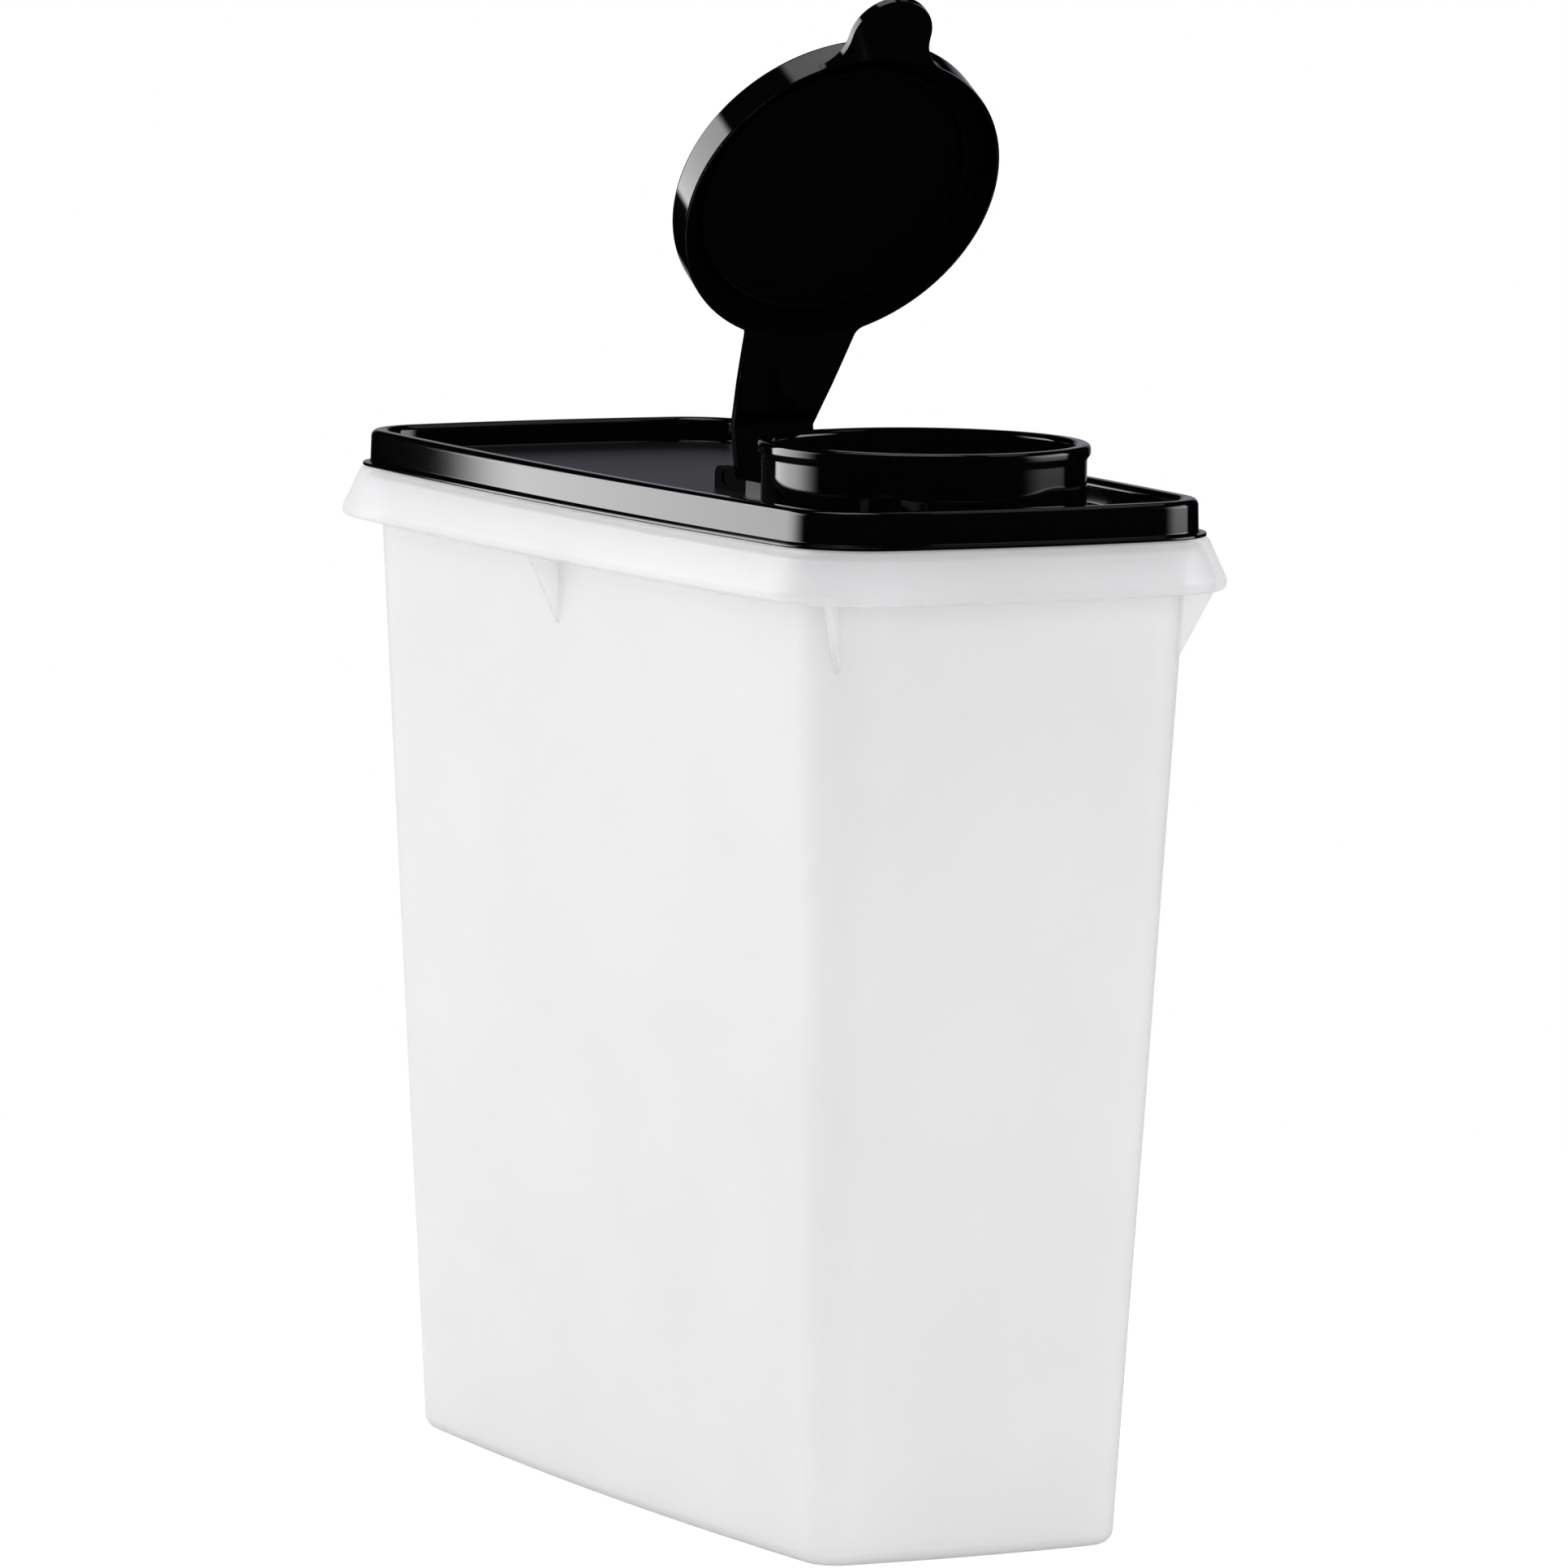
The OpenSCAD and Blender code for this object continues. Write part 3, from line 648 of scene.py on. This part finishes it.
# floor, light and camera
def floor():
    """A white paper sweep that keeps the object's faint shadow close by."""
    material, t, where = new_material("white_paper_sweep")
    # paper fibre, about 0.5 mm
    fibre = node(t, "ShaderNodeTexNoise", {"Scale": per_mm(0.5), "Detail": 2.0},
                 {"Vector": (where, "Object")})
    tint = node(t, "ShaderNodeValToRGB", links={"Fac": (fibre, "Fac")})
    for end, colour in zip(tint.color_ramp.elements, ("#f4f4f4", "#fafafa")):
        end.color = linear(colour)
    paper = node(t, "ShaderNodeBsdfDiffuse", links={"Color": (tint, "Color")})
    # near the object the paper's own shade and shadow show in a soft glow, and farther out it is plain white
    glow = node(t, "ShaderNodeEmission", {"Strength": 0.5})
    near = node(t, "ShaderNodeAddShader", links={0: (paper, 0), 1: (glow, 0)})
    away = node(t, "ShaderNodeVectorMath", {"operation": "LENGTH"}, {0: (where, "Object")})
    far = node(t, "ShaderNodeMapRange",
               {"interpolation_type": "SMOOTHSTEP", "From Min": PAPER_NEAR * MM, "From Max": PAPER_FAR * MM},
               {"Value": (away, "Value")})
    white = node(t, "ShaderNodeEmission", {"Strength": 1.0})
    sweep = node(t, "ShaderNodeMixShader", links={"Fac": (far, "Result"), 1: (near, 0), 2: (white, 0)})
    # the black gloss in the photograph shows a dark table top, so polished surfaces see the floor black
    dark = node(t, "ShaderNodeEmission", {"Strength": 0.0})
    seen = seen_by_ray(
        t, paper, {"Is Camera Ray": sweep, "Is Transmission Ray": sweep, "Is Glossy Ray": dark})
    node(t, "ShaderNodeOutputMaterial", links={"Surface": (seen, "Shader")})
    bm = bmesh.new()
    fill(bm, ring(bm, circle(FLOOR_RADIUS, steps=96), 0))
    mesh = bpy.data.meshes.new("floor")
    bm.to_mesh(mesh)
    bm.free()
    mesh.materials.append(material)
    obj = bpy.data.objects.new("floor", mesh)
    bpy.context.scene.collection.objects.link(obj)


# each edge of a lamp, and the shares of a lamp's width or height that fade unless it is told others
LAMP_EDGES = {"left": ("X", 0.0), "right": ("X", 1.0), "low": ("Y", 0.0), "high": ("Y", 1.0)}
SOFT = {"left": 0.12, "right": 0.12, "low": 0.12}


def softbox(name, left, right, low, high, distance, radiance, fades=SOFT, mirrored_in_gloss=True):
    """A flat lamp that fades out towards its edges, as a softbox does. An edge with no fade is sharp.

    Its edges are in degrees as seen from the object: azimuth from +X towards +Y, and height above level. Its
    distance is in metres, and radiance is how bright its middle looks.
    """
    lamp = bpy.data.lights.new(name, "AREA")
    lamp.shape = "RECTANGLE"
    lamp.size = 2 * distance * tan(radians(right - left) / 2)
    lamp.size_y = 2 * distance * tan(radians(high - low) / 2)
    # a lamp's power is spread over its area, and over pi for all directions
    lamp.energy = radiance * pi * lamp.size * lamp.size_y
    lamp.use_nodes = True
    t = lamp.node_tree
    t.nodes.clear()
    place = node(t, "ShaderNodeNewGeometry")
    across = node(t, "ShaderNodeSeparateXYZ", links={"Vector": (place, "Parametric")})
    full = {}
    for edge, share in fades.items():
        axis, start = LAMP_EDGES[edge]
        fade = node(t, "ShaderNodeMapRange",
                    {"interpolation_type": "SMOOTHSTEP", "From Min": start, "From Max": abs(start - share)},
                    {"Value": (across, axis), **full})
        # each fade dims what the ones before it leave
        full = {"To Max": (fade, "Result")}
    glow = node(t, "ShaderNodeEmission", links={"Strength": (fade, "Result")})
    node(t, "ShaderNodeOutputLight", links={"Surface": (glow, "Emission")})
    obj = bpy.data.objects.new(name, lamp)
    around, up = radians((left + right) / 2), radians((low + high) / 2)
    out = Vector((cos(around) * cos(up), sin(around) * cos(up), sin(up)))
    obj.location = Vector((0, 0, LAMP_AIM * MM)) + out * distance
    obj.rotation_mode = "QUATERNION"
    obj.rotation_quaternion = (-out).to_track_quat("-Z", "Y")
    obj.visible_camera = False
    obj.visible_glossy = mirrored_in_gloss
    bpy.context.scene.collection.objects.link(obj)


def lamps():
    """Two banks at the sides, two small lamps above, and one beside the camera that gloss doesn't mirror."""
    softbox("bank_left", 201.3, 257, -12, 34, 1.6, 5.0,
            {"left": 0.09, "right": 0.5, "low": 0.05, "high": 0.1})
    softbox("card_right", 41, 89, -5.2, 26, 1.6, 3.3, {"left": 0.45, "right": 0.12, "low": 0.2})
    softbox("overhead", 163, 197, 61, 95, 1.5, 1.6)
    softbox("high_right", 60, 120, 52, 68, 1.5, 0.35)
    softbox("beside_camera", 316, 370, 3, 33, 2.3, 3.3, mirrored_in_gloss=False)


def surroundings():
    """White behind the object, as in the photograph, and a plain dim studio for the light it gives."""
    world = bpy.data.worlds.new("studio")
    bpy.context.scene.world = world
    world.use_nodes = True
    t = world.node_tree
    t.nodes.clear()
    where = node(t, "ShaderNodeTexCoord")
    # polished surfaces see a lit patch of backdrop behind the object, fading out from 8 to 22 degrees off its
    # middle, of which 0.99 and 0.93 are the cosines, and a dark room round it
    behind = node(t, "ShaderNodeVectorMath", {"operation": "DOT_PRODUCT", 1: STRAIGHT_BEHIND},
                  {0: (where, "Generated")})
    patch = node(t, "ShaderNodeMapRange", {"From Min": 0.93, "From Max": 0.99, "To Min": 0.0, "To Max": 0.35},
                 {"Value": (behind, "Value")})
    room = node(t, "ShaderNodeBackground", {"Color": linear("#f0eeff")}, {"Strength": (patch, "Result")})
    white = node(t, "ShaderNodeBackground", {"Color": linear("#ffffff"), "Strength": 1.0})
    dim = node(t, "ShaderNodeBackground", {"Color": linear("#fcfcff"), "Strength": 0.55})
    seen = seen_by_ray(t, dim, {"Is Glossy Ray": room, "Is Camera Ray": white, "Is Transmission Ray": white})
    node(t, "ShaderNodeOutputWorld", links={"Surface": (seen, "Shader")})


def camera():
    """The photograph's view: a long lens a little above the lid, turned round to the spout's end."""
    data = bpy.data.cameras.new("camera")
    data.sensor_width = SENSOR_WIDTH
    data.lens = LENS_LENGTH
    data.clip_start, data.clip_end = 0.1, 50.0
    around, up_angle, roll = radians(CAMERA_AROUND), radians(CAMERA_UP), radians(CAMERA_ROLL)
    back = Vector((sin(around) * cos(up_angle), -cos(around) * cos(up_angle), sin(up_angle)))
    right = Vector((0, 0, 1)).cross(back).normalized()
    up = back.cross(right)
    right, up = right * cos(roll) + up * sin(roll), up * cos(roll) - right * sin(roll)
    turn = Matrix((right, up, back)).transposed().to_4x4()
    at = Vector(CAMERA_TARGET) * MM + back * CAMERA_DISTANCE * MM
    obj = bpy.data.objects.new("camera", data)
    obj.matrix_world = Matrix.Translation(at) @ turn
    bpy.context.scene.collection.objects.link(obj)
    bpy.context.scene.camera = obj


floor()
lamps()
surroundings()
camera()
bpy.context.scene.view_settings.view_transform = "Standard"
